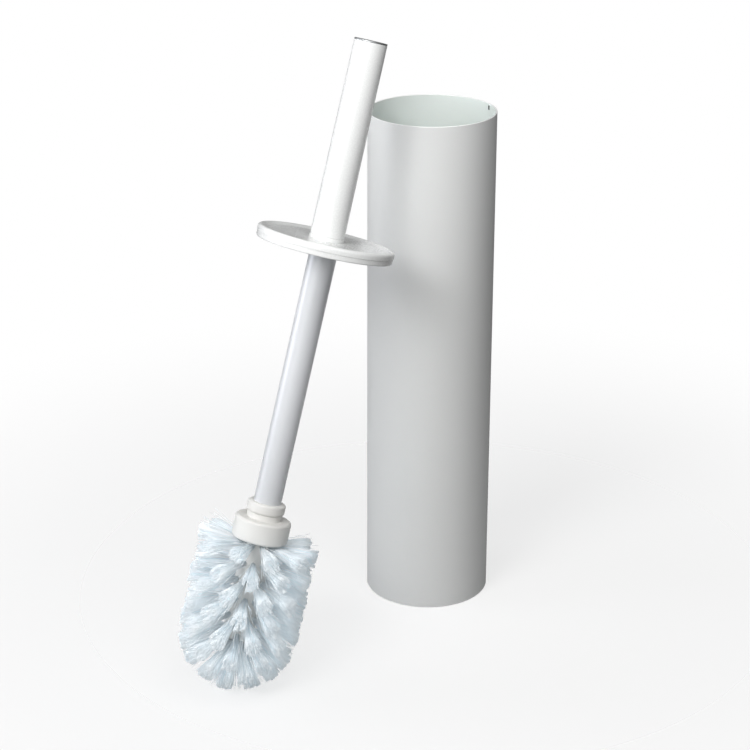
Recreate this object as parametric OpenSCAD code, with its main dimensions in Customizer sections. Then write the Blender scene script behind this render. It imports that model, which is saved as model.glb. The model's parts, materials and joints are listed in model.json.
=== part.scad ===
// Free-standing toilet brush set: a tall thin-walled tube that holds a brush
// whose lid closes the tube. The brush is modelled out of the tube, standing
// on its bristles beside it and leaning towards it.
// The tube's axis is +Z and its foot rests at z = 0.
// The brush is drawn along its own axis, with the middle of the lid's top at
// its zero, the grip above and the bristle head below, and then placed.

/* [Holder tube] */
// Outside diameter of the tube
tube_d = 90; // [75:1:110]
// Height of the tube's rim above the floor
tube_h = 365; // [300:5:440]
// Wall thickness of the tube
tube_wall = 1; // [0.8:0.1:1.4]
// Height of the tube's lower edge above the floor
tube_lift = 0.5; // [0.3:0.1:1]
// Width of the small slot pressed into the inner wall near the rim
slot_w = 1.8; // [1:0.1:3]
// Length of that slot
slot_l = 3; // [2:0.1:5]
// Depth of that slot
slot_depth = 0.4; // [0.2:0.1:0.5]
// Distance from the rim down to the slot's middle
slot_drop = 3; // [3:0.5:12]
// Direction of the slot around the tube, in degrees from +X
slot_turn = 26; // [0:1:359]

/* [Base and foot] */
// Thickness of the pressed base plate
base_t = 1; // [0.8:0.1:1.5]
// Height of the base plate's upturned flange
base_flange_h = 8; // [5:0.5:12]
// Thickness of the foot pad
pad_t = 1.6; // [1.2:0.1:3]

/* [Drip cup] */
// Height of the removable drip cup
cup_h = 44; // [30:1:45]
// Wall thickness of the drip cup
cup_wall = 1.5; // [1:0.1:2]
// Gap between the cup and the flange around it
cup_clear = 0.6; // [0.4:0.1:1.5]

/* [Grip] */
// Length of the grip above the lid
grip_len = 131; // [100:1:150]
// Diameter of the grip at its top
grip_top_d = 22; // [20:0.1:24]
// Diameter of the grip at its lower end
grip_base_d = 23; // [21:0.1:26]
// Bore of the grip
grip_bore_d = 18.6; // [15:0.1:19]
// Thickness of the cap's disc on the grip's end
cap_t = 1; // [0.6:0.1:2]
// Thickness of the ring under the grip
grip_ring_t = 1; // [0.6:0.1:2]
// How far that ring stands out past the grip
grip_ring_proud = 0.3; // [0.1:0.1:1]

/* [Lid] */
// Thickness of the lid at its edge
lid_t = 8; // [7:0.1:10]
// Radius of the rounding along the lid's top edge
lid_round = 2.2; // [1:0.1:2.6]
// How far the lid's upper band stands out past its lower band
lid_step = 0.35; // [0.2:0.05:0.8]
// Height of the lid's lower band
lid_band_h = 3.6; // [3:0.1:4.2]
// Thickness of the lip that reaches down around the tube's rim
lid_lip = 0.6; // [0.5:0.05:1]
// Depth of the groove that takes the tube's rim
lid_groove = 3; // [2:0.1:3.5]
// Depth of the dish in the lid's top
lid_dish = 1.4; // [0.6:0.1:1.8]
// Width of the raised rim around that dish
lid_rim_w = 3.2; // [3:0.1:6]
// Width of the slope from the rim down to the dish's floor
lid_slope_w = 4; // [1:0.1:8]
// Gap between the lid and the tube's rim, on each side of it
lid_clear = 0.25; // [0.2:0.05:0.5]

/* [Rod] */
// Outside diameter of the rod
rod_d = 18.8; // [16:0.1:20]
// Wall thickness of the rod
rod_wall = 1; // [0.8:0.1:1.5]
// Diameter of the stud that ties grip, lid and rod together
tie_d = 6; // [5:0.5:8]
// Height of the plugs that take that stud
plug_h = 20; // [15:1:30]
// Height of the bristle tip above the floor when the brush is stored
tip_clear = 52.8; // [50:0.1:60]

/* [Brush head] */
// Gap between the bristles and the tube's inner wall
head_clear = 2.1; // [1:0.1:4]
// Height of the ring around the rod's lower end
ring_h = 7; // [5:0.5:9]
// Diameter of that ring
ring_d = 26; // [24:0.1:28]
// Height of the neck between ring and collar
neck_h = 3.9; // [3:0.1:6]
// Diameter of the neck
neck_d = 23.8; // [22:0.1:23.8]
// Height of the collar
collar_h = 15.4; // [12:0.1:18]
// Diameter of the collar
collar_d = 38.4; // [34:0.1:40]
// Radius of the rounding along the collar's two edges
collar_round = 2; // [1:0.1:3]
// Diameter of the core that holds the bristles
core_d = 21; // [21:0.1:24]
// Length of the core from the collar to the middle of its round end
core_len = 65.3; // [62:0.1:80]
// Diameter of the screw that joins the head to the rod
screw_d = 10; // [8:0.5:11]

/* [Bristle tufts] */
// Number of tufts in each ring
tuft_count = 10; // [8:1:10]
// Downward slant of the top ring's tufts, in degrees
slant_top = 1; // [0:1:5]
// Downward slant of the lowest straight ring's tufts, in degrees
slant_low = 22; // [18:1:26]
// Diameter of a tuft where it enters the core
tuft_root_d = 3; // [2.6:0.1:3]
// Diameter of a tuft at its tips
tuft_tip_d = 12.6; // [10:0.1:13]
// Turn of the top ring's first tuft about the brush's axis, in degrees
tuft_turn = 28.6; // [0:0.1:36]
// Depth of the hole that holds a tuft
tuft_hole = 3.2; // [2.8:0.1:3.3]

/* [Standing place] */
// Gap between the tube and the bristle head beside it
stand_gap = 115.2; // [60:0.1:200]
// Direction of the bristle head as seen from the tube, in degrees from +X
stand_turn = 230.9; // [180:0.1:300]
// Lean of the brush from upright, in degrees
lean = 17.2; // [0:0.1:20]
// Direction in which the grip leans, in degrees from +X
lean_turn = 43.4; // [30:0.1:60]

/* [Hidden] */
$fn = 96;

tiny_gap = 0.05;      // between pressed or clamped pieces of one body
run_gap = 0.05;       // radial clearance of the head's screw in its socket
seat_gap = 0.2;       // between the head's neck and the ring it screws up to
over = 1;             // how far a cut runs past the face it opens

tube_r = tube_d / 2;
bore_r = tube_r - tube_wall;
base_r = bore_r - tiny_gap;
pad_r = base_r - base_t;
base_z = pad_t;
cup_z = base_z + base_t + 0.1;
cup_r = base_r - base_t - cup_clear;
cup_foot_round = 4;

lid_r = tube_r + lid_clear + lid_lip + lid_step;
lip_bore_r = tube_r + lid_clear;
boss_r = bore_r - lid_clear;
dish_r = lid_r - lid_rim_w;
cap_plate_t = 2.4;
grip_ring_r = grip_base_d / 2 + grip_ring_proud;
tie_hole_d = tie_d + 0.4;
tie_reach = 14;

rod_r = rod_d / 2;
rod_bore_r = rod_r - rod_wall;
grip_bore_r = grip_bore_d / 2;

head_r = bore_r - head_clear;
core_r = core_d / 2;
// Along the brush's axis, measured from the lid's top and so negative.
tip_z = tip_clear - tube_h - (lid_t - lid_groove);
dome_z = tip_z + head_r;
collar_z = dome_z + core_len;
neck_z = collar_z + collar_h;
ring_z = neck_z + neck_h + seat_gap;
rod_z = ring_z + ring_h;
screw_r = screw_d / 2;
screw_top = rod_z + 12;
screw_low = collar_z + 4;
socket_h = 20;

tuft_hole_gap = 0.1;
ring_count = 6;
first_ring_drop = 3.4; // below the collar
last_ring_drop = 1.5;  // below the middle of the core's round end
ring_pitch = (core_len - first_ring_drop + last_ring_drop) / (ring_count - 1);
half_step = 180 / tuft_count;
end_ring_count = 8;
end_ring_slant = -38;
end_root_slant = -36;
tip_ring_count = 5;
tip_ring_slant = -66;
tip_root_slant = -63;
anchor_d = 0.8;
anchor_gap = 0.1;

foot_x = (tube_r + head_r + stand_gap) * cos(stand_turn);
foot_y = (tube_r + head_r + stand_gap) * sin(stand_turn);

steel_grey = [0.76, 0.77, 0.77];
plastic_white = [0.96, 0.96, 0.96];
rod_white = [0.86, 0.87, 0.89];
head_white = [0.94, 0.94, 0.93];
bristle_white = [0.88, 0.92, 0.97];
zinc = [0.70, 0.71, 0.73];
rubber_grey = [0.35, 0.35, 0.36];

// Stands the brush on the floor: the middle of its round end is one bristle
// radius above the floor, and the axis leans from there.
module stand_brush() {
    translate([foot_x, foot_y, head_r])
        rotate([0, 0, lean_turn])
            rotate([0, lean, 0])
                translate([0, 0, -dome_z])
                    children();
}

// A round bar or a hollow bar between two heights.
module bar(r, low, high, bore = 0) {
    translate([0, 0, low])
        difference() {
            cylinder(r = r, h = high - low);
            if (bore > 0)
                translate([0, 0, -over]) cylinder(r = bore, h = high - low + 2 * over);
        }
}

// A flat rectangle in a profile, from one radius and height to another.
module band(r_in, r_out, low, high) {
    translate([r_in, low]) square([r_out - r_in, high - low]);
}

// A profile's band with its outer corners rounded.
module rounded_band(r_out, low, high, top_round, low_round) {
    band(0, r_out - max(top_round, low_round), low, high);
    band(0, r_out, low + low_round, high - top_round);
    translate([r_out - top_round, high - top_round]) circle(r = top_round);
    translate([r_out - low_round, low + low_round]) circle(r = low_round);
}

// ---- holder ----

module holder_tube() {
    color(steel_grey)
    difference() {
        translate([0, 0, tube_lift]) cylinder(r = tube_r, h = tube_h - tube_lift);
        translate([0, 0, tube_lift - over]) cylinder(r = bore_r, h = tube_h + 2 * over);
        rotate([0, 0, slot_turn])
            translate([bore_r - over, -slot_w / 2, tube_h - slot_drop - slot_l / 2])
                cube([over + slot_depth, slot_w, slot_l]);
    }
}

module base_plate() {
    color(zinc)
    rotate_extrude() {
        band(0, base_r, base_z, base_z + base_t);
        band(base_r - base_t, base_r, base_z, base_z + base_flange_h);
    }
}

module foot_pad() {
    color(rubber_grey) bar(pad_r, 0, pad_t);
}

module drip_cup() {
    color(plastic_white)
    rotate_extrude()
        difference() {
            union() {
                band(0, cup_r - cup_foot_round, cup_z, cup_z + cup_h);
                band(0, cup_r, cup_z + cup_foot_round, cup_z + cup_h);
                translate([cup_r - cup_foot_round, cup_z + cup_foot_round])
                    intersection() {
                        circle(r = cup_foot_round);
                        translate([0, -cup_foot_round]) square(cup_foot_round);
                    }
            }
            band(0, cup_r - cup_wall, cup_z + cup_foot_round, cup_z + cup_h + over);
            band(0, cup_r - cup_foot_round, cup_z + cup_wall, cup_z + cup_h);
        }
}

// ---- grip ----

module grip() {
    color(plastic_white)
    stand_brush()
        rotate_extrude()
            polygon([[grip_bore_r, grip_ring_t], [grip_base_d / 2, grip_ring_t],
                     [grip_top_d / 2, grip_len - cap_t], [grip_bore_r, grip_len - cap_t]]);
}

module grip_cap() {
    color(zinc)
    stand_brush() {
        bar(grip_top_d / 2, grip_len - cap_t, grip_len);
        bar(grip_bore_r - tiny_gap, grip_len - cap_t - 8, grip_len - cap_t);
    }
}

module grip_ring() {
    color(plastic_white)
    stand_brush()
        bar(grip_ring_r, -lid_dish, grip_ring_t, tie_hole_d / 2);
}

module grip_plug() {
    color(zinc)
    stand_brush()
        bar(grip_bore_r - tiny_gap, grip_ring_t, grip_ring_t + plug_h, tie_d / 2 + tiny_gap);
}

// ---- lid ----

module lid_cap() {
    color(plastic_white)
    stand_brush()
        rotate_extrude()
            difference() {
                union() {
                    rounded_band(lid_r, lid_band_h - lid_t, 0, lid_round, 0.4);
                    rounded_band(lid_r - lid_step, -lid_t, lid_band_h - lid_t + over, 0.1, 0.25);
                }
                band(-lid_r, 0, -lid_t - over, over);
                band(0, lip_bore_r, -lid_t - over, -lid_t + lid_groove);
                band(0, boss_r, -lid_t, -lid_dish - cap_plate_t);
                band(0, tie_hole_d / 2, -lid_t, over);
                polygon([[0, over], [dish_r, over], [dish_r, 0],
                         [dish_r - lid_slope_w, -lid_dish], [0, -lid_dish]]);
            }
}

module lid_underplate() {
    color(plastic_white)
    stand_brush()
        bar(boss_r - tiny_gap, -lid_t, -lid_dish - cap_plate_t, tie_hole_d / 2);
}

module tie_stud() {
    color(zinc)
    stand_brush()
        bar(tie_d / 2, -lid_t - tie_reach, grip_ring_t + tie_reach);
}

// ---- rod ----

module rod() {
    color(rod_white)
    stand_brush()
        bar(rod_r, rod_z, -lid_t, rod_bore_r);
}

module rod_plug() {
    color(zinc)
    stand_brush()
        bar(rod_bore_r - tiny_gap, -lid_t - plug_h, -lid_t, tie_d / 2 + tiny_gap);
}

// Ring at the rod's lower end, with the socket that the head screws into.
module rod_ring() {
    color(head_white)
    stand_brush()
        difference() {
            union() {
                rotate_extrude() {
                    difference() {
                        rounded_band(ring_d / 2, ring_z, rod_z, 1.6, 0.8);
                        band(-ring_d, 0, ring_z - over, rod_z + over);
                    }
                }
                bar(rod_bore_r - tiny_gap, rod_z - over, rod_z + socket_h);
            }
            translate([0, 0, ring_z - over])
                cylinder(r = screw_r + run_gap, h = ring_h + over + socket_h - 4);
        }
}

// ---- bristle head ----

// Slant of a ring's tufts above level, and the height of their roots.
function ring_slant(k) = -slant_top - (slant_low - slant_top) * k / (ring_count - 1);
function ring_root(k) = collar_z - first_ring_drop - k * ring_pitch;

// Distance along a tuft from its root (r0, z0) to the round-ended envelope.
function reach_side(r0, slant, r_env) = (r_env - r0) / max(cos(slant), 0.001);
function reach_dome(b, r0, dz, r_env) = sqrt(b * b - r0 * r0 - dz * dz + r_env * r_env) - b;
function reach(r0, z0, slant, r_env) =
    z0 + reach_side(r0, slant, r_env) * sin(slant) > dome_z
        ? reach_side(r0, slant, r_env)
        : reach_dome(r0 * cos(slant) + (z0 - dome_z) * sin(slant), r0, z0 - dome_z, r_env);

// Length of a tuft whose flat end keeps its middle, its upper edge, its lower
// edge and its two sides inside the round-ended envelope.
tip_r = tuft_tip_d / 2;
side_r = sqrt(head_r * head_r - tip_r * tip_r);
function tuft_len(r0, z0, slant) = min(
    reach(r0, z0, slant, side_r),
    reach(r0 - tip_r * sin(slant), z0 + tip_r * cos(slant), slant, head_r),
    reach(r0 + tip_r * sin(slant), z0 - tip_r * cos(slant), slant, head_r));

// Places children at each root of one ring, with +Z along the tuft.
module at_roots(count, turn, r0, z0, slant) {
    for (i = [0 : count - 1])
        rotate([0, 0, turn + i * 360 / count])
            translate([r0, 0, z0])
                rotate([0, 90 - slant, 0])
                    children();
}

// One tuft: a straight root in its hole, then a flare to the bristle tips.
module tuft(len) {
    translate([0, 0, -tuft_hole + anchor_d + 2 * anchor_gap])
        cylinder(d = tuft_root_d, h = tuft_hole - anchor_d - 2 * anchor_gap + 0.5, $fn = 24);
    translate([0, 0, 0.5])
        cylinder(d1 = tuft_root_d, d2 = tuft_tip_d, h = len - 0.5, $fn = 24);
}

// The rings in order: straight rings along the core, then the end ring and
// the tip ring on its round end. Each row is count, turn, root r, root z, slant.
rings = concat(
    [for (k = [0 : ring_count - 1])
        [tuft_count, tuft_turn + (k % 2) * half_step, core_r, ring_root(k), ring_slant(k)]],
    [[end_ring_count, tuft_turn + half_step + 180 / end_ring_count, core_r * cos(end_root_slant),
      dome_z + core_r * sin(end_root_slant), end_ring_slant],
     [tip_ring_count, tuft_turn + half_step + 180 / tip_ring_count, core_r * cos(tip_root_slant),
      dome_z + core_r * sin(tip_root_slant), tip_ring_slant],
     [1, 0, 0, dome_z - core_r, -90]]);

module tuft_ring(k) {
    color(bristle_white)
    stand_brush()
        at_roots(rings[k][0], rings[k][1], rings[k][2], rings[k][3], rings[k][4])
            tuft(tuft_len(rings[k][2], rings[k][3], rings[k][4]));
}

module head_core() {
    color(head_white)
    stand_brush()
        difference() {
            union() {
                bar(neck_d / 2, neck_z - over, neck_z + neck_h);
                rotate_extrude()
                    difference() {
                        rounded_band(collar_d / 2, collar_z, neck_z, collar_round, collar_round);
                        band(-collar_d, 0, collar_z - over, neck_z + over);
                    }
                bar(core_r, dome_z, collar_z + over);
                translate([0, 0, dome_z]) sphere(r = core_r);
            }
            translate([0, 0, screw_low])
                cylinder(r = screw_r + tiny_gap / 2, h = neck_z + neck_h - screw_low + over);
            for (ring = rings)
                at_roots(ring[0], ring[1], ring[2], ring[3], ring[4])
                    translate([0, 0, -tuft_hole])
                        cylinder(d = tuft_root_d + 2 * tuft_hole_gap, h = tuft_hole + 3, $fn = 24);
        }
}

module head_screw() {
    color(zinc)
    stand_brush()
        bar(screw_r, screw_low, screw_top);
}

// A short wire lies across the bottom of each hole and holds the tuft down.
module tuft_anchors() {
    color(zinc)
    stand_brush()
        for (ring = rings)
            at_roots(ring[0], ring[1], ring[2], ring[3], ring[4])
                translate([0, 0, -tuft_hole + anchor_gap + anchor_d / 2])
                    rotate([90, 0, 0])
                        cylinder(d = anchor_d, h = tuft_root_d - anchor_d, center = true, $fn = 16);
}

holder_tube();
base_plate();
foot_pad();
drip_cup();
grip();
grip_cap();
grip_ring();
grip_plug();
tie_stud();
lid_cap();
lid_underplate();
rod();
rod_plug();
rod_ring();
head_core();
head_screw();
tuft_anchors();
tuft_ring(0);  // tufts_ring_1
tuft_ring(1);  // tufts_ring_2
tuft_ring(2);  // tufts_ring_3
tuft_ring(3);  // tufts_ring_4
tuft_ring(4);  // tufts_ring_5
tuft_ring(5);  // tufts_ring_6
tuft_ring(ring_count);  // tufts_end_ring
tuft_ring(ring_count + 1);  // tufts_tip_ring
tuft_ring(ring_count + 2);  // tuft_tip
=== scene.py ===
"""Toilet brush set: a tall lacquered tube, and the brush that stands beside it on its bristles.

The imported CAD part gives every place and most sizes, and this file gives the looks. It is laid out as
the set is put together: camera and light, holder, drip cup, grip, lid, rod, and the bristle head.
Lengths in a section are in millimetres where a name ends in _mm, and in metres everywhere else.
"""
import json
import math

import bmesh
import bpy
import numpy as np
from mathutils import Matrix, Vector


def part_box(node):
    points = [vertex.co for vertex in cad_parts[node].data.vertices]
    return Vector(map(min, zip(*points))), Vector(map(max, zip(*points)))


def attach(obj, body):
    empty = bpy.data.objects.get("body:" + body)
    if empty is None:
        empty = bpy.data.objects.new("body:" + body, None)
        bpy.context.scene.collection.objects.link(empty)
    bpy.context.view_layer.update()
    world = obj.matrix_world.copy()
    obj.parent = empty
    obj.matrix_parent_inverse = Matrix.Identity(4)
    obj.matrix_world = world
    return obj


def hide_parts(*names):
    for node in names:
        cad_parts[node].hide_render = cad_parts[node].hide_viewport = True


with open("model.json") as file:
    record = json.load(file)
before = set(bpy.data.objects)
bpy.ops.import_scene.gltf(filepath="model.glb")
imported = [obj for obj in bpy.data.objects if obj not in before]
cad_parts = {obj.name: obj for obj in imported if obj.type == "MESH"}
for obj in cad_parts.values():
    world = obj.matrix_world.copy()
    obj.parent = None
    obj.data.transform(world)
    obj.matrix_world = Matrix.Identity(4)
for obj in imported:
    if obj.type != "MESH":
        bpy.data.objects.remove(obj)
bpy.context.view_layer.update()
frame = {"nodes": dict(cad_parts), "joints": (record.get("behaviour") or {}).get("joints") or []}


# ---- Camera ------------------------------------------------------------------------------------
# A long lens at a little over two holder heights above the floor, looking down at the set from the
# front. The holder's axis is the frame's origin, so the camera stands straight in front of it.
camera_distance = 1.3827
camera_height = 0.7256
camera_down_deg = 22.0
camera_left_deg = 1.63
camera_roll_deg = 0.12

camera = bpy.data.objects.new("camera", bpy.data.cameras.new("camera"))
bpy.context.scene.collection.objects.link(camera)
camera.data.sensor_width = 36
camera.data.lens = 98.27
camera.data.clip_end = 20
camera.matrix_world = (
    Matrix.Translation((0, -camera_distance, camera_height))
    @ Matrix.Rotation(math.radians(camera_left_deg), 4, "Z")
    @ Matrix.Rotation(math.radians(90 - camera_down_deg), 4, "X")
    @ Matrix.Rotation(math.radians(camera_roll_deg), 4, "Z")
)
bpy.context.scene.camera = camera


# ---- Studio: floor, sky and lamps --------------------------------------------------------------
# A white sweep lit by a broad soft lamp at the left and front, a weaker one overhead for the lid and
# the mouth of the tube, one in front for the tube's upper half, and a cool fill low at the left.
# What the lamps leave dark is the right-hand side, as in a product studio with a black flag there.
def linear(hex_colour):
    """The linear colour of an sRGB hex value such as #F2F3F2, as four numbers with alpha 1."""
    parts = [int(hex_colour[i:i + 2], 16) / 255 for i in (1, 3, 5)]
    return [c / 12.92 if c <= 0.04045 else ((c + 0.055) / 1.055) ** 2.4 for c in parts] + [1.0]


def add(tree, kind, settings=None, **inputs):
    """Adds a node. Settings are its own attributes; inputs are sockets by name, linked or set."""
    made = tree.nodes.new(kind)
    for name, value in (settings or {}).items():
        setattr(made, name, value)
    for name, value in inputs.items():
        socket = made.inputs[int(name[1:]) if name[1:].isdigit() else name.replace("_", " ")]
        if isinstance(value, bpy.types.NodeSocket):
            tree.links.new(value, socket)
        else:
            socket.default_value = value
    return made


def lamp(name, place, aim, size, power, colour, spread_deg=180):
    """A square soft lamp at a place, turned to face the aim point, with a grid that narrows it."""
    light = bpy.data.lights.new(name, "AREA")
    light.shape = "SQUARE"
    light.size = size
    light.energy = power
    light.color = linear(colour)[:3]
    light.spread = math.radians(spread_deg)
    holder = bpy.data.objects.new(name, light)
    holder.location = place
    holder.rotation_mode = "QUATERNION"
    holder.rotation_quaternion = (Vector(aim) - Vector(place)).to_track_quat("-Z", "Y")
    bpy.context.scene.collection.objects.link(holder)


set_middle = (-0.03, -0.05, 0.2)
lamp("key_lamp", (-0.74, -1.12, 1.3), (-0.05, -0.05, 0.46), 0.8, 1.55, "#FFFFFF", 48)
lamp("top_lamp", (0.15, -0.45, 1.0), set_middle, 0.5, 2.4, "#FFFFFF")
lamp("front_lamp", (-0.3, -0.8, 0.72), (0, 0, 0.36), 0.4, 1.5, "#FFFFFF")
lamp("left_fill", (-1.7, -0.1, 0.5), set_middle, 0.8, 7, "#F2F6FF")

sky = bpy.data.worlds.new("studio_white")
sky.use_nodes = True
bpy.context.scene.world = sky
sky.node_tree.nodes.clear()
sky_way = add(sky.node_tree, "ShaderNodeTexCoord").outputs["Generated"]
sky_side = add(sky.node_tree, "ShaderNodeVectorMath", {"operation": "DOT_PRODUCT"}, _0=sky_way,
               _1=(-0.72, -0.62, 0.31))
sky_strength = add(sky.node_tree, "ShaderNodeMapRange", None, Value=sky_side.outputs["Value"],
                   From_Min=-0.7, From_Max=1.0, To_Min=0.1, To_Max=0.42)
sky_light = add(sky.node_tree, "ShaderNodeBackground", None, Color=linear("#FFFFFF"),
                Strength=sky_strength.outputs[0])
sky_seen = add(sky.node_tree, "ShaderNodeBackground", None, Color=linear("#FFFFFF"), Strength=1.0)
sky_path = add(sky.node_tree, "ShaderNodeLightPath")
sky_mix = add(sky.node_tree, "ShaderNodeMixShader", None, _0=sky_path.outputs["Is Camera Ray"],
              _1=sky_light.outputs[0], _2=sky_seen.outputs[0])
add(sky.node_tree, "ShaderNodeOutputWorld", None, Surface=sky_mix.outputs[0])
bpy.context.scene.view_settings.view_transform = "Standard"

floor_half = 6.0
floor_mesh = bpy.data.meshes.new("floor")
floor_mesh.from_pydata([(-floor_half, -floor_half, 0), (floor_half, -floor_half, 0),
                        (floor_half, floor_half, 0), (-floor_half, floor_half, 0)], [], [(0, 1, 2, 3)])
floor = bpy.data.objects.new("floor", floor_mesh)
bpy.context.scene.collection.objects.link(floor)
floor_paper = bpy.data.materials.new("white_paper_sweep")
floor_paper.use_nodes = True
floor_tree = floor_paper.node_tree
floor_paint = floor_tree.nodes["Principled BSDF"]
floor_paint.inputs["Base Color"].default_value = linear("#F9F9F9")
floor_paint.inputs["Roughness"].default_value = 0.9
floor_place = add(floor_tree, "ShaderNodeTexCoord").outputs["Object"]
floor_far = add(floor_tree, "ShaderNodeVectorMath", {"operation": "LENGTH"}, Vector=floor_place)
floor_fade = add(floor_tree, "ShaderNodeMapRange", {"interpolation_type": "SMOOTHSTEP"},
                 Value=floor_far.outputs["Value"], From_Min=0.16, From_Max=0.6, To_Min=0.7)
floor_open = add(floor_tree, "ShaderNodeBsdfTransparent")
floor_mix = add(floor_tree, "ShaderNodeMixShader", None, _0=floor_fade.outputs[0],
                _1=floor_paint.outputs[0], _2=floor_open.outputs[0])
floor_tree.links.new(floor_mix.outputs[0], floor_tree.nodes["Material Output"].inputs["Surface"])
floor.data.materials.append(floor_paper)


# ---- Holder tube -------------------------------------------------------------------------------
# A welded steel tube with a 1 mm wall, cut to length and deburred, then lacquered a matt silver grey
# outside and a pale grey inside, and glossier over the rim, where a lighter colour is a painted
# highlight. A small blind slot is pressed into the inner wall near the rim, painted dark as painted
# shade.
sharp_angle = math.radians(38)      # edges that turn more than this stay crisp
arc_step_deg = 11


def softened(corners):
    """A closed (r, z) outline from corners (r, z, radius): each corner with a radius becomes an arc
    that touches both of its sides, with a point at about every arc_step_deg of its turn."""
    out = []
    count = len(corners)
    for i, (x, y, radius) in enumerate(corners):
        here = np.array([x, y])
        before = np.array(corners[i - 1][:2]) - here
        after = np.array(corners[(i + 1) % count][:2]) - here
        before, after = before / np.linalg.norm(before), after / np.linalg.norm(after)
        if radius <= 0:
            out.append(here[None])
            continue
        half = math.acos(np.clip(before @ after, -1, 1)) / 2
        middle = here + (before + after) / np.linalg.norm(before + after) * radius / math.sin(half)
        first = here + before * radius / math.tan(half) - middle
        last = here + after * radius / math.tan(half) - middle
        turn = math.atan2(first[0] * last[1] - first[1] * last[0], first @ last)
        t = np.linspace(0, turn, max(3, int(abs(math.degrees(turn)) / arc_step_deg) + 2))
        out.append(middle + np.outer(np.cos(t), first)
                   + np.outer(np.sin(t), np.array([-first[1], first[0]])))
    return np.vstack(out)


def turned(name, outline, low=(0, 0, 0), axis=(0, 0, 1), steps=180):
    """A solid turned about an axis: the closed outline's point (r, z) at angle a lies z along the
    axis from its low point and r out from it, towards cos(a) of one side and sin(a) of the other."""
    along = np.array(Vector(axis).normalized())
    side = np.cross(along, (0.0, 0.6, 0.8) if abs(along[2]) < 0.9 else (0.0, 1.0, 0.0))
    side /= np.linalg.norm(side)
    other = np.cross(along, side)
    a = np.arange(steps) * 2 * math.pi / steps
    ring = np.cos(a)[:, None] * side + np.sin(a)[:, None] * other
    r, z = outline[:, 0], outline[:, 1]
    points = np.array(low) + z[:, None, None] * along + r[:, None, None] * ring
    i, j = np.meshgrid(np.arange(len(r)), np.arange(steps), indexing="ij")
    i2, j2 = (i + 1) % len(r), (j + 1) % steps
    faces = np.stack([i * steps + j, i2 * steps + j, i2 * steps + j2, i * steps + j2], -1)
    mesh = bpy.data.meshes.new(name)
    mesh.from_pydata(points.reshape(-1, 3), [], faces.reshape(-1, 4).tolist())
    shape = bmesh.new()
    shape.from_mesh(mesh)
    bmesh.ops.remove_doubles(shape, verts=shape.verts, dist=1e-7)
    bmesh.ops.recalc_face_normals(shape, faces=shape.faces)
    shape.to_mesh(mesh)
    shape.free()
    mesh.shade_smooth()
    mesh.set_sharp_from_angle(angle=sharp_angle)
    piece = bpy.data.objects.new(name, mesh)
    bpy.context.scene.collection.objects.link(piece)
    return piece


def surface(name):
    """A new material, its node tree and its Principled shader."""
    made = bpy.data.materials.new(name)
    made.use_nodes = True
    return made, made.node_tree, made.node_tree.nodes["Principled BSDF"]


def lacquer(name, colour, speck_colour, peel, rough_low, rough_high):
    """Sprayed lacquer on steel: a slightly uneven tone over some 60 mm, metal flake that is drawn at
    0.7 mm, much coarser than it is, so that it shows at all, and orange peel 1.5 mm across, which
    breaks up the gloss."""
    made, tree, shader = surface(name)
    place = add(tree, "ShaderNodeTexCoord").outputs["Object"]
    cloud = add(tree, "ShaderNodeTexNoise", None, Vector=place, Scale=1000 / 62.5, Detail=3.0)
    fleck = add(tree, "ShaderNodeTexNoise", None, Vector=place, Scale=1000 / 0.667, Detail=1.0)
    tones = add(tree, "ShaderNodeMix", {"data_type": "RGBA"}, Factor=cloud.outputs["Fac"])
    tones.inputs[6].default_value = linear(colour)
    tones.inputs[7].default_value = linear(speck_colour)
    flecked = add(tree, "ShaderNodeMix", {"data_type": "RGBA", "blend_type": "OVERLAY"}, Factor=0.10)
    tree.links.new(tones.outputs[2], flecked.inputs[6])
    tree.links.new(fleck.outputs["Color"], flecked.inputs[7])
    tree.links.new(flecked.outputs[2], shader.inputs["Base Color"])
    rough = add(tree, "ShaderNodeMapRange", None, Value=cloud.outputs["Fac"],
                To_Min=rough_low, To_Max=rough_high)
    tree.links.new(rough.outputs[0], shader.inputs["Roughness"])
    skin = add(tree, "ShaderNodeTexNoise", None, Vector=place, Scale=1000 / 1.54, Detail=2.0)
    bump = add(tree, "ShaderNodeBump", None, Height=skin.outputs["Fac"], Strength=peel, Distance=0.0001)
    tree.links.new(bump.outputs[0], shader.inputs["Normal"])
    shader.inputs["Metallic"].default_value = 0.1
    shader.inputs["IOR"].default_value = 1.5
    return made


MM = 0.001
tube_low, tube_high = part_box("holder_tube")
tube_r = (tube_high.x - tube_low.x) / 2
tube_wall = 1.0 * MM
tube_foot_round = 0.2 * MM
rim_round = 0.42 * MM
tube = turned("holder_tube_lacquered", softened([
    (tube_r - tube_wall, tube_low.z, tube_foot_round), (tube_r, tube_low.z, tube_foot_round),
    (tube_r, tube_high.z, rim_round), (tube_r - tube_wall, tube_high.z, rim_round)]), steps=256)

# The slot's cutter is a box that reaches 0.4 mm into the wall, with its middle 3 mm below the rim.
slot_size = (1.4 * MM, 1.8 * MM, 3.0 * MM)
slot_depth = 0.4 * MM
slot_drop = 3.0 * MM
slot_turn = math.radians(26)
slot_mesh = bpy.data.meshes.new("slot_cutter")
slot_shape = bmesh.new()
bmesh.ops.create_cube(slot_shape, size=1.0)
slot_place = (Matrix.Rotation(slot_turn, 4, "Z")
              @ Matrix.Translation((tube_r - tube_wall + slot_depth - slot_size[0] / 2, 0,
                                  tube_high.z - slot_drop))
              @ Matrix.Diagonal((*slot_size, 1)))
bmesh.ops.transform(slot_shape, matrix=slot_place, verts=slot_shape.verts)
slot_shape.to_mesh(slot_mesh)
slot_shape.free()
slot_cutter = bpy.data.objects.new("slot_cutter", slot_mesh)
bpy.context.scene.collection.objects.link(slot_cutter)
press = tube.modifiers.new("slot", "BOOLEAN")
press.operation = "DIFFERENCE"
press.solver = "EXACT"
press.object = slot_cutter
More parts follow.
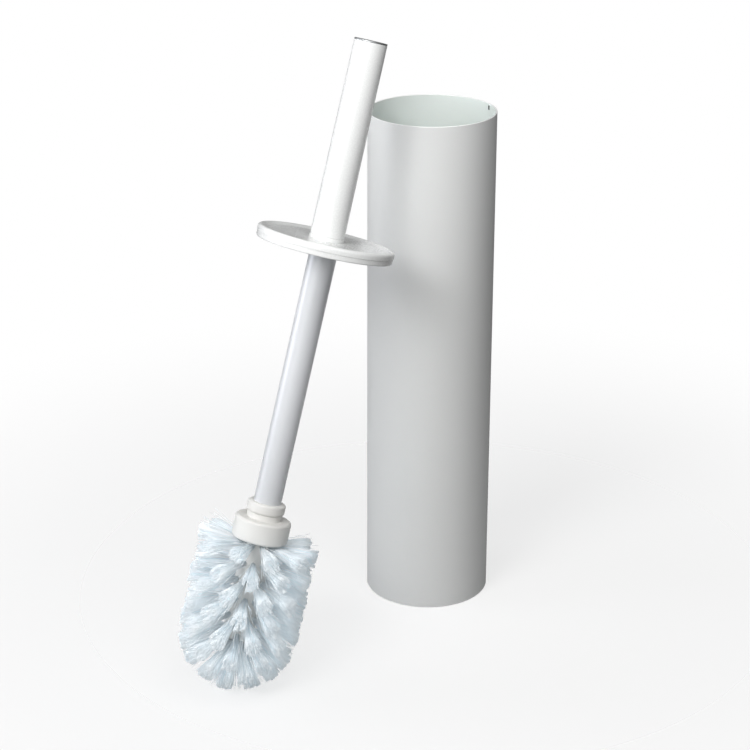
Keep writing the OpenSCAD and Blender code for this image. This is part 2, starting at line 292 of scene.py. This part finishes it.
pressed = bpy.data.meshes.new_from_object(tube.evaluated_get(bpy.context.evaluated_depsgraph_get()))
tube.modifiers.clear()
tube.data = pressed
tube.data.name = "holder_tube_lacquered"
bpy.data.objects.remove(slot_cutter)
tube.data.set_sharp_from_angle(angle=sharp_angle)

tube.data.materials.clear()
tube.data.materials.append(lacquer("silver_lacquer", "#E3E4E3", "#E8E9E8", 0.12, 0.40, 0.48))
tube.data.materials.append(lacquer("pale_inner_lacquer", "#E0E7E3", "#E5EBE8", 0.10, 0.45, 0.55))
# Painted shade: the slot is coloured near black, standing for the shade inside the small recess.
slot_painted_shade, _, slot_shader = surface("painted_shade_in_the_slot")
slot_shader.inputs["Base Color"].default_value = linear("#3A3C3D")
slot_shader.inputs["Roughness"].default_value = 0.6
tube.data.materials.append(slot_painted_shade)
# Painted highlight: the rim's lacquer is lighter than the tube's, standing for the light line along the
# rounded rim.
tube.data.materials.append(lacquer("rim_lacquer_painted_highlight", "#FBFCFB", "#FDFDFD", 0.05, 0.24, 0.30))
middles = np.empty(len(tube.data.polygons) * 3)
tube.data.polygons.foreach_get("center", middles)
middles = middles.reshape(-1, 3)
out_from_axis = np.hypot(middles[:, 0], middles[:, 1])
inner = out_from_axis < tube_r - 0.8 * tube_wall
in_slot = ((out_from_axis > tube_r - 0.97 * tube_wall) & (out_from_axis < tube_r - 0.4 * tube_wall)
           & (np.abs(middles[:, 2] - tube_high.z + slot_drop) < 0.6 * slot_size[2]))
rim_painted_highlight = middles[:, 2] > tube_high.z - 0.7 * rim_round
tube.data.polygons.foreach_set("material_index", np.select([rim_painted_highlight, in_slot, inner], [3, 2, 1], 0))
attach(tube, "holder")
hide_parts("holder_tube")


# ---- Base plate and foot pad -------------------------------------------------------------------
# The base is a pressed disc of zinc-plated steel with an upturned flange, pushed into the tube. The
# foot is a round pad of grey rubber glued under it, with a softened lower edge.
grain_run_mm = 1000 / 60


def plated(name, colour, rough, grain_mm):
    """Zinc-plated or brushed steel: a metal with faint drawn grain grain_mm across and some 17 mm
    long, which shows as uneven gloss more than as colour."""
    made, tree, shader = surface(name)
    place = add(tree, "ShaderNodeTexCoord").outputs["Object"]
    stretch = add(tree, "ShaderNodeMapping", None, Vector=place,
                  Scale=(1000 / grain_mm, 1000 / grain_mm, 1000 / grain_run_mm))
    lines = add(tree, "ShaderNodeTexNoise", None, Vector=stretch.outputs[0], Scale=1.0, Detail=4.0)
    shade = add(tree, "ShaderNodeMapRange", None, Value=lines.outputs["Fac"],
                To_Min=rough - 0.08, To_Max=rough + 0.1)
    tree.links.new(shade.outputs[0], shader.inputs["Roughness"])
    tone = add(tree, "ShaderNodeMix", {"data_type": "RGBA"}, Factor=lines.outputs["Fac"])
    tone.inputs[6].default_value = linear(colour)
    tone.inputs[7].default_value = [c * 0.86 for c in linear(colour)[:3]] + [1.0]
    tree.links.new(tone.outputs[2], shader.inputs["Base Color"])
    bump = add(tree, "ShaderNodeBump", None, Height=lines.outputs["Fac"], Strength=0.08,
               Distance=0.0001)
    tree.links.new(bump.outputs[0], shader.inputs["Normal"])
    shader.inputs["Metallic"].default_value = 1.0
    return made


def dress(node, material):
    """Gives a CAD node a material in place of the one that it came with."""
    for slot in frame["nodes"][node].material_slots:
        slot.material = material


zinc = plated("zinc_plated_steel", "#B4B8BC", 0.42, 1 / 3)
for hidden_metal in ("base_plate", "tie_stud", "head_screw", "tuft_anchors"):
    dress(hidden_metal, zinc)

# Grey rubber: matt, with a fine grain of about a millimetre from its mould.
rubber, rubber_tree, rubber_shader = surface("moulded_grey_rubber")
rubber_place = add(rubber_tree, "ShaderNodeTexCoord").outputs["Object"]
rubber_grain = add(rubber_tree, "ShaderNodeTexNoise", None, Vector=rubber_place,
                   Scale=1000 / 1.11, Detail=3.0)
rubber_tone = add(rubber_tree, "ShaderNodeMix", {"data_type": "RGBA"},
                  Factor=rubber_grain.outputs["Fac"])
rubber_tone.inputs[6].default_value = linear("#55575A")
rubber_tone.inputs[7].default_value = linear("#6A6C6E")
rubber_tree.links.new(rubber_tone.outputs[2], rubber_shader.inputs["Base Color"])
rubber_bump = add(rubber_tree, "ShaderNodeBump", None, Height=rubber_grain.outputs["Fac"],
                  Strength=0.3, Distance=0.0002)
rubber_tree.links.new(rubber_bump.outputs[0], rubber_shader.inputs["Normal"])
rubber_shader.inputs["Roughness"].default_value = 0.82

pad_low, pad_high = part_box("foot_pad")
pad_r = (pad_high.x - pad_low.x) / 2
pad = turned("foot_pad_rubber", softened([
    (0, pad_low.z, 0), (pad_r, pad_low.z, 0.4 * MM), (pad_r, pad_high.z, 0.2 * MM), (0, pad_high.z, 0)]))
pad.data.materials.append(rubber)
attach(pad, "holder")
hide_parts("foot_pad")


# ---- Drip cup ----------------------------------------------------------------------------------
# A loose thin-walled cup of white polypropylene that stands on the base plate and catches the drips.
# It is moulded with a rounded foot and a softened rim, and it lifts out through the tube's mouth.
def moulded(name, light, shade, rough, texture_mm, relief):
    """Injection-moulded plastic: an even colour with clouds of a slightly deeper tone some 45 mm
    across, and the fine skin of the mould, a spark-eroded grain texture_mm across, which softens
    the gloss."""
    made, tree, shader = surface(name)
    place = add(tree, "ShaderNodeTexCoord").outputs["Object"]
    cloud = add(tree, "ShaderNodeTexNoise", None, Vector=place, Scale=1000 / 45.45, Detail=2.0)
    tone = add(tree, "ShaderNodeMix", {"data_type": "RGBA"}, Factor=cloud.outputs["Fac"])
    tone.inputs[6].default_value = linear(light)
    tone.inputs[7].default_value = linear(shade)
    tree.links.new(tone.outputs[2], shader.inputs["Base Color"])
    grain = add(tree, "ShaderNodeTexNoise", None, Vector=place, Scale=1000 / texture_mm, Detail=2.0)
    gloss = add(tree, "ShaderNodeMapRange", None, Value=grain.outputs["Fac"],
                To_Min=rough - 0.05, To_Max=rough + 0.05)
    tree.links.new(gloss.outputs[0], shader.inputs["Roughness"])
    bump = add(tree, "ShaderNodeBump", None, Height=grain.outputs["Fac"], Strength=relief,
               Distance=0.0001)
    tree.links.new(bump.outputs[0], shader.inputs["Normal"])
    shader.inputs["IOR"].default_value = 1.49
    return made


cup_low, cup_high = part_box("drip_cup")
cup_r = (cup_high.x - cup_low.x) / 2
cup_wall = 1.5 * MM
cup = turned("drip_cup_moulded", softened([
    (0, cup_low.z, 0), (cup_r, cup_low.z, 4 * MM), (cup_r, cup_high.z, 0.6 * MM),
    (cup_r - cup_wall, cup_high.z, 0.6 * MM), (cup_r - cup_wall, cup_low.z + cup_wall, 2.4 * MM),
    (0, cup_low.z + cup_wall, 0)]))
cup.data.materials.append(moulded("white_polypropylene_cup", "#E9EBE9", "#E2E5E3", 0.42, 0.6, 0.1))
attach(cup, "cup")
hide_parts("drip_cup")


# ---- Grip --------------------------------------------------------------------------------------
# A slightly tapered tube of glossy white ABS, with a ring under it that seats it on the lid and a
# thin steel disc that closes its upper end. Plugs and a stud inside tie it to the lid and the rod.
head_joint = next(j for j in frame["joints"] if j["name"] == "head_unscrew")
brush_axis = Vector(head_joint["axis"]).normalized()
brush_zero = Vector(head_joint["pos_m"])


def along_brush(*nodes):
    """(lowest, highest, widest) of CAD nodes along the brush's axis and out from it. The zero is
    the middle of the round end of the bristle head, where the head's joint is."""
    found = []
    for node in nodes:
        mesh = frame["nodes"][node].data
        points = np.empty(len(mesh.vertices) * 3)
        mesh.vertices.foreach_get("co", points)
        found.append(points.reshape(-1, 3) - np.array(brush_zero))
    points = np.vstack(found)
    height = points @ np.array(brush_axis)
    radius = np.linalg.norm(points - np.outer(height, np.array(brush_axis)), axis=1)
    return height.min(), height.max(), radius.max()


def on_brush(name, corners, steps=128):
    """A piece turned about the brush's axis from an outline with softened corners."""
    return turned(name, softened(corners), brush_zero, brush_axis, steps)


gloss_white = moulded("glossy_white_abs", "#EFF0EF", "#EBECEB", 0.27, 0.8, 0.05)
gloss_white.node_tree.nodes["Principled BSDF"].inputs["Coat Weight"].default_value = 0.25
gloss_white.node_tree.nodes["Principled BSDF"].inputs["Coat Roughness"].default_value = 0.15

close_fit = 0.05 * MM            # between parts that are pushed into one another
stud_hole_r = 3.2 * MM           # the hole in the ring and the lid that the tie stud passes through

grip_low, grip_high, grip_base_r = along_brush("grip")
grip_top_r = along_brush("grip_cap")[2]
grip_bore = 9.3 * MM
grip = on_brush("grip_moulded", [
    (grip_bore, grip_low, 0), (grip_base_r, grip_low, 0.5 * MM),
    (grip_top_r, grip_high, 0.35 * MM), (grip_bore, grip_high, 0)])
grip.data.materials.append(gloss_white)
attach(grip, "brush")
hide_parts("grip")

ring_low, ring_high, ring_r = along_brush("grip_ring")
grip_ring = on_brush("grip_ring_moulded", [
    (stud_hole_r, ring_low, 0), (ring_r, ring_low, 0.15 * MM),
    (ring_r, ring_high, 0.6 * MM), (stud_hole_r, ring_high, 0)])
grip_ring.data.materials.append(gloss_white)
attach(grip_ring, "brush")
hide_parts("grip_ring")

cap_low, cap_high, cap_r = along_brush("grip_cap")
cap_disc = 1.0 * MM
grip_cap = on_brush("grip_cap_disc", [
    (0, cap_low, 0), (grip_bore - close_fit, cap_low, 0.3 * MM),
    (grip_bore - close_fit, cap_high - cap_disc, 0), (cap_r, cap_high - cap_disc, 0.15 * MM),
    (cap_r, cap_high, 0.35 * MM), (0, cap_high, 0)])
grip_cap.data.materials.append(plated("brushed_steel_disc", "#C2C4C5", 0.42, 0.4545))
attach(grip_cap, "brush")
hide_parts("grip_cap")

grey_nylon = moulded("grey_nylon_plug", "#B9BCBE", "#B0B3B5", 0.5, 0.7, 0.15)
for plug in ("grip_plug", "rod_plug"):
    dress(plug, grey_nylon)


# ---- Lid ---------------------------------------------------------------------------------------
# A glossy white disc moulded in two parts: a cap with a raised, well rounded rim around a shallow
# dish, and an underplate snapped into it. Between them is the groove that takes the tube's rim.
lid_low, lid_high, lid_r = along_brush("lid_cap")
_, plate_high, plate_r = along_brush("lid_underplate")
lid_step = 0.35 * MM
lid_band = 3.6 * MM
lid_dish = 1.4 * MM
lid_rim_w = 3.2 * MM
lid_slope_w = 4.0 * MM
lid_groove = 3.0 * MM
lip_bore_r = tube_r + 0.25 * MM
lid = on_brush("lid_cap_moulded", [
    (stud_hole_r, lid_high - lid_dish, 0),
    (stud_hole_r, plate_high, 0), (plate_r + close_fit, plate_high, 0),
    (plate_r + close_fit, lid_low + lid_groove, 0.1 * MM), (lip_bore_r, lid_low + lid_groove, 0.1 * MM),
    (lip_bore_r, lid_low, 0.1 * MM), (lid_r - lid_step, lid_low, 0.8 * MM),
    (lid_r - lid_step, lid_low + lid_band, 0.1 * MM), (lid_r, lid_low + lid_band, 0.25 * MM),
    (lid_r, lid_high, 2.2 * MM), (lid_r - lid_rim_w, lid_high, 3.4 * MM),
    (lid_r - lid_rim_w - lid_slope_w, lid_high - lid_dish, 6.0 * MM)], steps=256)
lid.data.materials.append(gloss_white)
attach(lid, "brush")
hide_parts("lid_cap")
dress("lid_underplate", moulded("white_abs_underplate", "#EEEFEE", "#E8EAE9", 0.4, 0.6, 0.12))


# ---- Rod ---------------------------------------------------------------------------------------
# A drawn steel tube in a smooth, cool white-grey enamel, pushed up against the lid's underplate. The
# ring at its lower end is a plastic moulding with the socket that the bristle head screws into.
rod_low, rod_high, rod_r = along_brush("rod")
rod_wall = 1.0 * MM
rod = on_brush("rod_enamelled", [
    (rod_r - rod_wall, rod_low, 0), (rod_r, rod_low, 0.2 * MM),
    (rod_r, rod_high, 0.2 * MM), (rod_r - rod_wall, rod_high, 0)])
rod.data.materials.append(lacquer("cool_white_enamel", "#DBDDE0", "#E1E3E6", 0.05, 0.30, 0.38))
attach(rod, "brush")
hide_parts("rod")

soft_white = moulded("ivory_white_polypropylene", "#ECEBE7", "#E6E5E2", 0.40, 0.5, 0.12)
socket_low, socket_high, socket_r = along_brush("rod_ring")
socket_ring_h = 7.0 * MM
screw_r = 5.05 * MM
rod_ring = on_brush("rod_ring_moulded", [
    (screw_r, socket_low, 0), (socket_r - 0.5 * MM, socket_low, 0.8 * MM),
    (socket_r, socket_low + 1.6 * MM, 1.2 * MM), (socket_r, socket_low + socket_ring_h, 1.7 * MM),
    (rod_r - rod_wall - close_fit, socket_low + socket_ring_h, 0),
    (rod_r - rod_wall - close_fit, socket_high, 0.4 * MM), (screw_r, socket_high, 0)])
rod_ring.data.materials.append(soft_white)
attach(rod_ring, "brush")
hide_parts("rod_ring")


# ---- Head core ---------------------------------------------------------------------------------
# One ivory-white moulding: a neck with two fine steps, a broad collar with rounded edges, and the
# round-ended core whose drilled holes hold the tufts. The CAD node has those holes, so it stays.
dress("head_core", soft_white)


# ---- Bristle tufts -----------------------------------------------------------------------------
# Seventy-four tufts of nylon filament, each folded over a wire and driven into its hole. A tuft flares
# from its root like a paintbrush, its filaments gather in a few locks, and the cut ends are uneven.
tufts_in_node = {f"tufts_ring_{k}": 10 for k in range(1, 7)}
tufts_in_node.update({"tufts_end_ring": 8, "tufts_tip_ring": 5, "tuft_tip": 1})
filaments_per_tuft = 640
filament_r = 0.15 * MM
filament_steps = 4
root_r = 1.5 * MM
flare_r = 6.6 * MM
droop = 1.4 * MM                 # the sag of a level tuft's tips
locks_per_tuft = 24
lock_spread = 0.85               # how far out in its tuft a lock may lie, as a share of its radius
lock_pull = (0.1, 0.75)          # how far a filament is drawn to its lock, as a share of the way
stray_share, stray_size = 0.06, 0.55    # how many filaments stray, and how far in shares of the flare
lean_size = 0.14                 # how far a whole tuft leans, in shares of the flare
lock_cut, filament_cut = 1.5 * MM, 0.8 * MM       # how unevenly locks and filaments are cut
lock_tones, filament_tones = 0.24, 0.16
flare_power = 1.2
envelope_gap = 0.1 * MM
floor_gap = 0.15 * MM
head_r = brush_zero.z
rough_length = 0.8 * head_r      # before a filament is cut

brush_side = brush_axis.cross(Vector((0, 0, 1))).normalized()
brush_other = brush_axis.cross(brush_side)
brush_basis = np.array([brush_side, brush_other, brush_axis])


def tuft_lines(node, count):
    """The root and direction of each tuft in a CAD node, in the brush's own basis. A ring's tufts
    are alike, evenly spaced and round about their own lines, so the mean of the points, turned back
    onto one tuft, lies on that tuft's line, and so does the mean of the points nearest the core."""
    mesh = frame["nodes"][node].data
    points = np.empty(len(mesh.vertices) * 3)
    mesh.vertices.foreach_get("co", points)
    points = (points.reshape(-1, 3) - np.array(brush_zero)) @ brush_basis.T
    if count == 1:
        return np.array([[0, 0, points[:, 2].max()]]), np.array([[0, 0, -1.0]])
    radius = np.hypot(points[:, 0], points[:, 1])
    angle = np.arctan2(points[:, 1], points[:, 0])
    turn = np.angle(np.exp(1j * angle * count).mean()) / count
    off = np.angle(np.exp(1j * (angle - turn) * count)) / count
    forward = np.stack([radius * np.cos(off), points[:, 2]], 1)
    near = forward[radius < radius.min() + 1.2 * MM].mean(0)
    line = forward.mean(0) - near
    line /= np.linalg.norm(line)
    a = turn + np.arange(count) * 2 * math.pi / count
    ring = np.stack([np.cos(a), np.sin(a), np.zeros(count)], 1)
    up = np.array([0, 0, 1.0])
    return ring * near[0] + up * near[1], ring * line[0] + up * line[1]


def trimmed(start, run, limit):
    """The share of each run at which it meets the trimming surface: a cylinder about the brush's
    axis whose end is a ball about the zero. It is found by halving the range from 0.4 to 1.8."""
    low, high = np.full(limit.shape, 0.4), np.full(limit.shape, 1.8)
    for _ in range(20):
        half = (low + high) / 2
        point = start + run * half[..., None]
        point[..., 2] = np.minimum(point[..., 2], 0)
        beyond = np.linalg.norm(point, axis=-1) > limit
        low, high = np.where(beyond, low, half), np.where(beyond, half, high)
    return (low + high) / 2


def filaments(node, count, seed):
    """All filaments of one ring. A filament's point at share s of its length lies s of the way up
    its tuft's line, plus its place in the tuft's disc times the root's radius times 1 - s, plus its
    own spread at the tips times s to the flare's power, plus a sag towards the brush's tip times s
    squared. The spread is the flare's radius times the sum of its place in the disc, a pull
    towards the nearest lock, the whole tuft's lean and, for a few, a stray of their own. Each run
    is cut where it meets the trimming surface, a lock's filaments at about one length, and each
    filament is a three-sided rod. The second result is each filament's tone."""
    rng = np.random.default_rng(seed)
    root, line = tuft_lines(node, count)
    n = filaments_per_tuft
    s = np.linspace(0, 1, filament_steps + 1)
    across = np.cross(line, [0.31, 0.17, 0.93])
    across /= np.linalg.norm(across, axis=1)[:, None]
    over = np.cross(line, across)

    out = np.sqrt(rng.random((count, n)))
    turn = rng.random((count, n)) * 2 * math.pi
    place = np.stack([out * np.cos(turn), out * np.sin(turn)], -1)
    lock_out = np.sqrt(rng.random((count, locks_per_tuft))) * lock_spread
    lock_turn = rng.random((count, locks_per_tuft)) * 2 * math.pi
    locks = np.stack([lock_out * np.cos(lock_turn), lock_out * np.sin(lock_turn)], -1)
    nearest = np.linalg.norm(place[:, :, None] - locks[:, None], axis=-1).argmin(-1)
    pull = np.take_along_axis(locks, nearest[..., None], 1) - place
    pull = pull * rng.uniform(*lock_pull, (count, n, 1))
    stray = (rng.random((count, n, 1)) < stray_share) * rng.normal(0, stray_size, (count, n, 2))
    lean = rng.normal(0, lean_size, (count, 1, 2))
    spread = (place + pull + stray + lean) * flare_r

    sag = np.array([0, 0, -droop]) * (1 - np.abs(line[:, None, 2:]))

    def flat_to_space(flat):
        return across[:, None] * flat[..., :1] + over[:, None] * flat[..., 1:]

    lock_short = np.abs(rng.normal(0, lock_cut, (count, locks_per_tuft)))
    lock_tone = rng.normal(0.5, lock_tones, (count, locks_per_tuft))
    limit = (head_r - envelope_gap - np.take_along_axis(lock_short, nearest, 1)
             - np.abs(rng.normal(0, filament_cut, (count, n))))
    tone = np.take_along_axis(lock_tone, nearest, 1) + rng.normal(0, filament_tones, (count, n))
    start = np.broadcast_to(root[:, None], (count, n, 3)).copy()
    run = line[:, None] * rough_length + flat_to_space(spread) + sag
    cut = trimmed(start, run, limit)[..., None]
    base = flat_to_space(place * root_r)
    rise = line[:, None] * rough_length * cut
    lean_out = flat_to_space(spread) * cut
    points = (start[:, :, None] + base[:, :, None] * (1 - s)[:, None] + rise[:, :, None] * s[:, None]
              + lean_out[:, :, None] * (s ** flare_power)[:, None]
              + (sag * cut)[:, :, None] * (s ** 2)[:, None])

    side = np.arange(3) * 2 * math.pi / 3 + rng.random((count, n, 1)) * 2 * math.pi
    offset = (across[:, None, None] * np.cos(side)[..., None]
              + over[:, None, None] * np.sin(side)[..., None]) * filament_r
    corners = points[:, :, :, None] + offset[:, :, None]
    return corners.reshape(-1, 3), np.clip(tone.ravel(), 0.02, 0.95)


def tuft_piece(node, count, seed):
    """The mesh of one ring of tufts, with a UV map that holds each filament's own tone across and
    the share of its length upwards, so that the colour can follow both."""
    corners, tone = filaments(node, count, seed)
    strands = len(tone)
    corners = corners @ brush_basis + np.array(brush_zero)
    corners[:, 2] = np.maximum(corners[:, 2], floor_gap)
    rows = filament_steps + 1
    first = np.arange(strands)[:, None, None] * rows * 3
    row = np.arange(filament_steps)[None, :, None] * 3
    j = np.arange(3)[None, None, :]
    k = (j + 1) % 3
    sides = np.stack([first + row + j, first + row + k, first + row + 3 + k, first + row + 3 + j], -1)
    ends = first[:, 0] + filament_steps * 3
    caps = np.stack([ends, ends + 1, ends + 2], -1).reshape(-1, 3)
    bases = np.stack([first[:, 0] + 2, first[:, 0] + 1, first[:, 0]], -1).reshape(-1, 3)
    sides = sides.reshape(-1, 4)
    mesh = bpy.data.meshes.new(node + "_bristles")
    mesh.from_pydata(corners, [], sides.tolist() + caps.tolist() + bases.tolist())
    # Each face gets a little width in the map, so that none of them has an area of nothing there.
    tone_sides = np.repeat(tone, filament_steps * 3)[:, None] + [0, 0.02, 0.02, 0]
    share = np.linspace(0, 1, rows)
    low = np.tile(np.repeat(share[:-1], 3), strands)[:, None]
    high = np.tile(np.repeat(share[1:], 3), strands)[:, None]
    share_sides = np.hstack([low, low, high, high])
    tone_ends = tone[:, None] + [0, 0.02, 0.01]
    share_caps = np.zeros((strands, 3)) + [0.985, 0.985, 1.0]
    share_bases = np.zeros((strands, 3)) + [0.0, 0.0, 0.015]
    u = np.concatenate([tone_sides.ravel(), tone_ends.ravel(), tone_ends.ravel()])
    v = np.concatenate([share_sides.ravel(), share_caps.ravel(), share_bases.ravel()])
    uv = mesh.uv_layers.new(name="OFBake")
    uv.uv.foreach_set("vector", np.stack([u, v], 1).astype(np.float32).ravel())
    mesh.shade_smooth()
    piece = bpy.data.objects.new(node + "_bristles", mesh)
    bpy.context.scene.collection.objects.link(piece)
    return piece


# Drawn nylon: a cool, slightly translucent white, in which each lock and filament has its own tone, and
# the roots are a little greyer as painted shade. Light that clear filaments pass on inside the mass
# keeps it pale, and a painted glow of their own, stronger towards the tips, stands for it.
nylon, nylon_tree, nylon_shader = surface("drawn_nylon_filament")
nylon_uv = add(nylon_tree, "ShaderNodeUVMap", {"uv_map": "OFBake"})
nylon_parts = add(nylon_tree, "ShaderNodeSeparateXYZ", None, Vector=nylon_uv.outputs[0])
nylon_tone = add(nylon_tree, "ShaderNodeMix", {"data_type": "RGBA"}, Factor=nylon_parts.outputs["X"])
nylon_tone.inputs[6].default_value = linear("#E0E8EE")
nylon_tone.inputs[7].default_value = linear("#FFFFFF")
# Painted shade: the filaments are greyer over the first 35 % of their length, where the roots lie deep
# in the mass.
nylon_painted_root_shade = add(nylon_tree, "ShaderNodeMapRange", None, Value=nylon_parts.outputs["Y"],
                 From_Min=0.0, From_Max=0.35)
nylon_colour = add(nylon_tree, "ShaderNodeMix", {"data_type": "RGBA"}, Factor=nylon_painted_root_shade.outputs[0])
nylon_colour.inputs[6].default_value = linear("#DCE4E9")
nylon_tree.links.new(nylon_tone.outputs[2], nylon_colour.inputs[7])
nylon_tree.links.new(nylon_colour.outputs[2], nylon_shader.inputs["Base Color"])
nylon_shader.inputs["Roughness"].default_value = 0.42
nylon_shader.inputs["IOR"].default_value = 1.53
# Painted glow: the filaments give a faint light of their own, stronger towards the tips, in place of the
# light that passes along inside them.
nylon_shader.inputs["Emission Color"].default_value = linear("#E4F3FA")
nylon_painted_glow = add(nylon_tree, "ShaderNodeMapRange", None, Value=nylon_parts.outputs["Y"],
                 From_Min=0.2, From_Max=0.8, To_Min=0.04, To_Max=0.2)
nylon_tree.links.new(nylon_painted_glow.outputs[0], nylon_shader.inputs["Emission Strength"])

first_seed = 40
for order, (ring_node, ring_tufts) in enumerate(tufts_in_node.items()):
    bristles = tuft_piece(ring_node, ring_tufts, first_seed + order)
    bristles.data.materials.append(nylon)
    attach(bristles, "head")
    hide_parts(ring_node)
